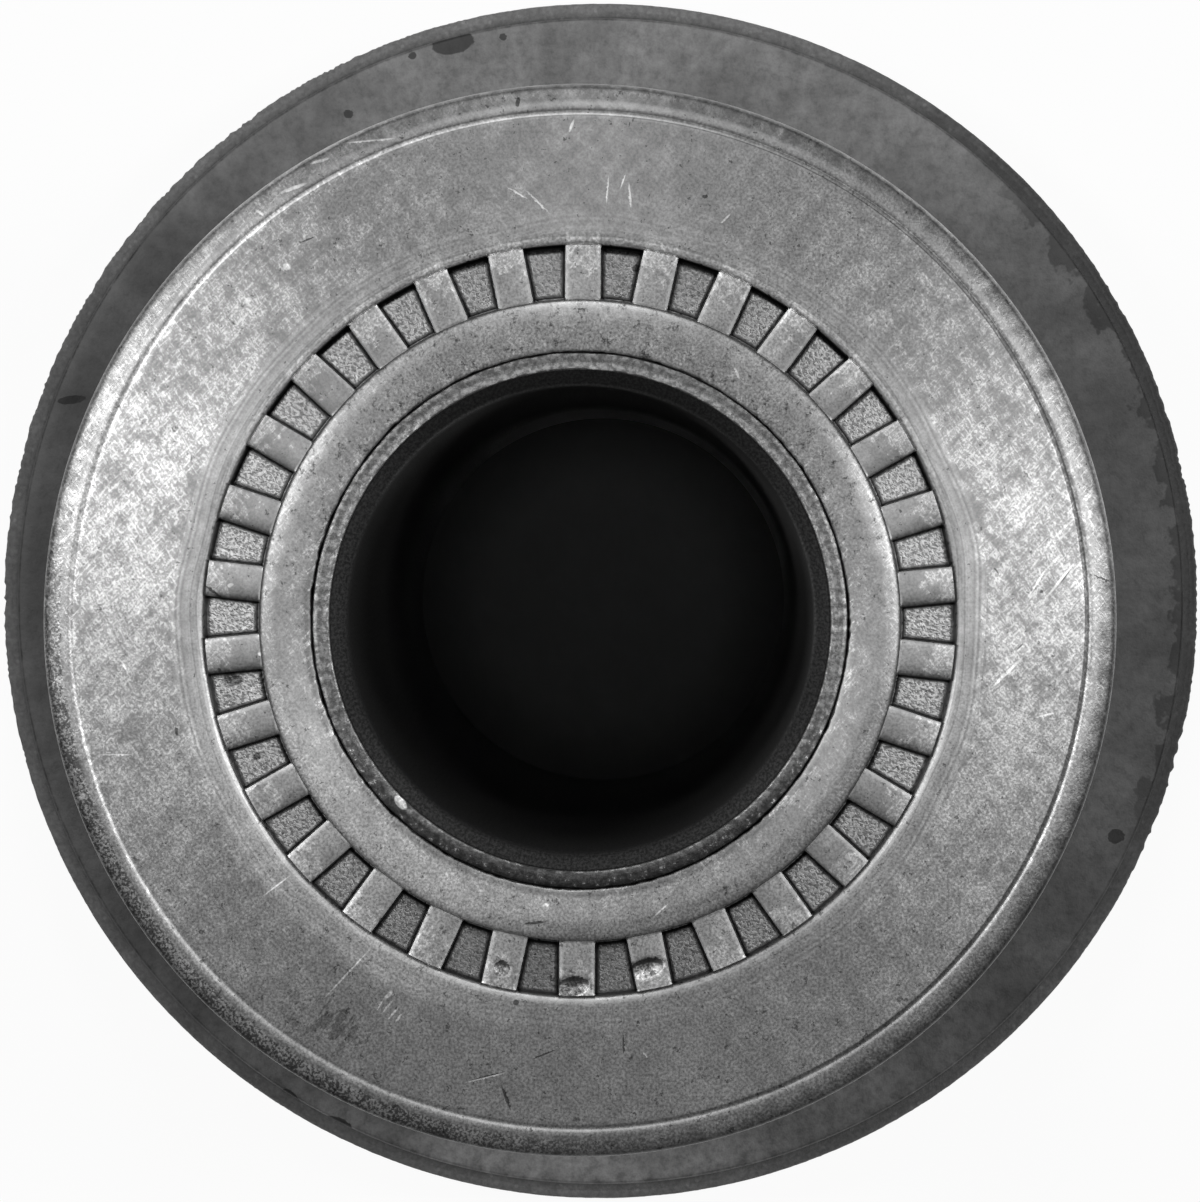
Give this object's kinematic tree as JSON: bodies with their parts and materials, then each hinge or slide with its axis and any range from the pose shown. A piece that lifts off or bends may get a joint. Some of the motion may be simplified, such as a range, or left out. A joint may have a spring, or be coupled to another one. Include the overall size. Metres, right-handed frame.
{
  "type": "rubber metal bush",
  "caption": "Flanged rubber-metal bush: bored steel inner sleeve with a wide serrated head, bonded in rubber inside a flanged outer sleeve with a rubber bumper.",
  "frame": {"origin": "centre of the inner sleeve's plain end face, which the bush stands on", "axes": "+Z along the bolt axis, from the plain end to the serrated head"},
  "size_m": [0.045, 0.045, 0.06],
  "materials": {
    "serrated_steel": "satin",
    "liner_steel": "satin",
    "phosphated_steel": "matte",
    "bush_rubber": "matte"
  },
  "bodies": {
    "root": {"inner_sleeve": "serrated_steel", "liner_tube": "liner_steel", "outer_sleeve": "phosphated_steel", "rubber_body": "bush_rubber"}
  },
  "joints": []
}
